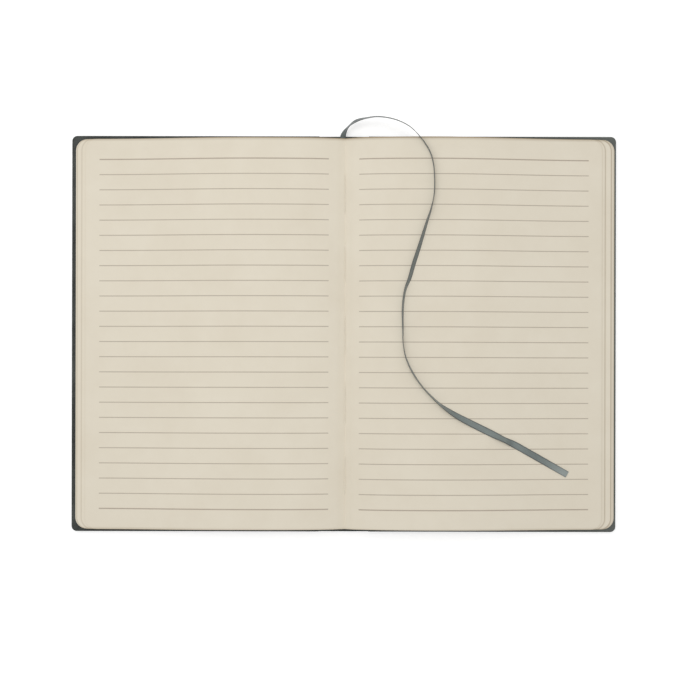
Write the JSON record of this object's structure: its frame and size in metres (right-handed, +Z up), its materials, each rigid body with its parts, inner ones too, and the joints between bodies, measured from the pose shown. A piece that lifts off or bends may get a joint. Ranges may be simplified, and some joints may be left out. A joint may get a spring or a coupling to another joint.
{
  "type": "case-bound ruled notebook with ribbon marker",
  "caption": "Hard-cover ruled notebook lying open at its middle, with rounded leaf corners, hinged covers and a narrow ribbon marker over the right page.",
  "frame": {"origin": "on the table, under the middle of the open cover, ribbon left out", "axes": "+X to the right along the open width, +Y towards the head of the pages, +Z up"},
  "size_m": [0.289, 0.2193, 0.02],
  "materials": {
    "cover_leather": "satin",
    "grey_board": "matte",
    "endpaper": "matte",
    "lining_cloth": "matte",
    "page_paper": "matte",
    "thread": "matte",
    "ruling_ink": "matte",
    "edge_ink": "matte",
    "ribbon_satin": "satin"
  },
  "bodies": {
    "book_block": {"text_block": "page_paper", "spine_lining": "lining_cloth", "spine_strip": "grey_board", "spine_wrap": "cover_leather", "sewing_thread": "thread", "front_flyleaf": "endpaper", "back_flyleaf": "endpaper", "ruled_lines": "ruling_ink", "edge_lines": "edge_ink", "ribbon": "ribbon_satin"},
    "front_cover": {"front_wrap": "cover_leather", "front_board": "grey_board", "front_pastedown": "endpaper"},
    "back_cover": {"back_wrap": "cover_leather", "back_board": "grey_board", "back_pastedown": "endpaper"}
  },
  "joints": [
    {"name": "front_cover_hinge", "type": "hinge", "parent": "book_block", "child": "front_cover", "pos_m": [-0.01, 0, 0], "axis": [0, -1, 0], "range_deg": [0, 90]},
    {"name": "back_cover_hinge", "type": "hinge", "parent": "book_block", "child": "back_cover", "pos_m": [0.01, 0, 0], "axis": [0, 1, 0], "range_deg": [0, 90]}
  ]
}
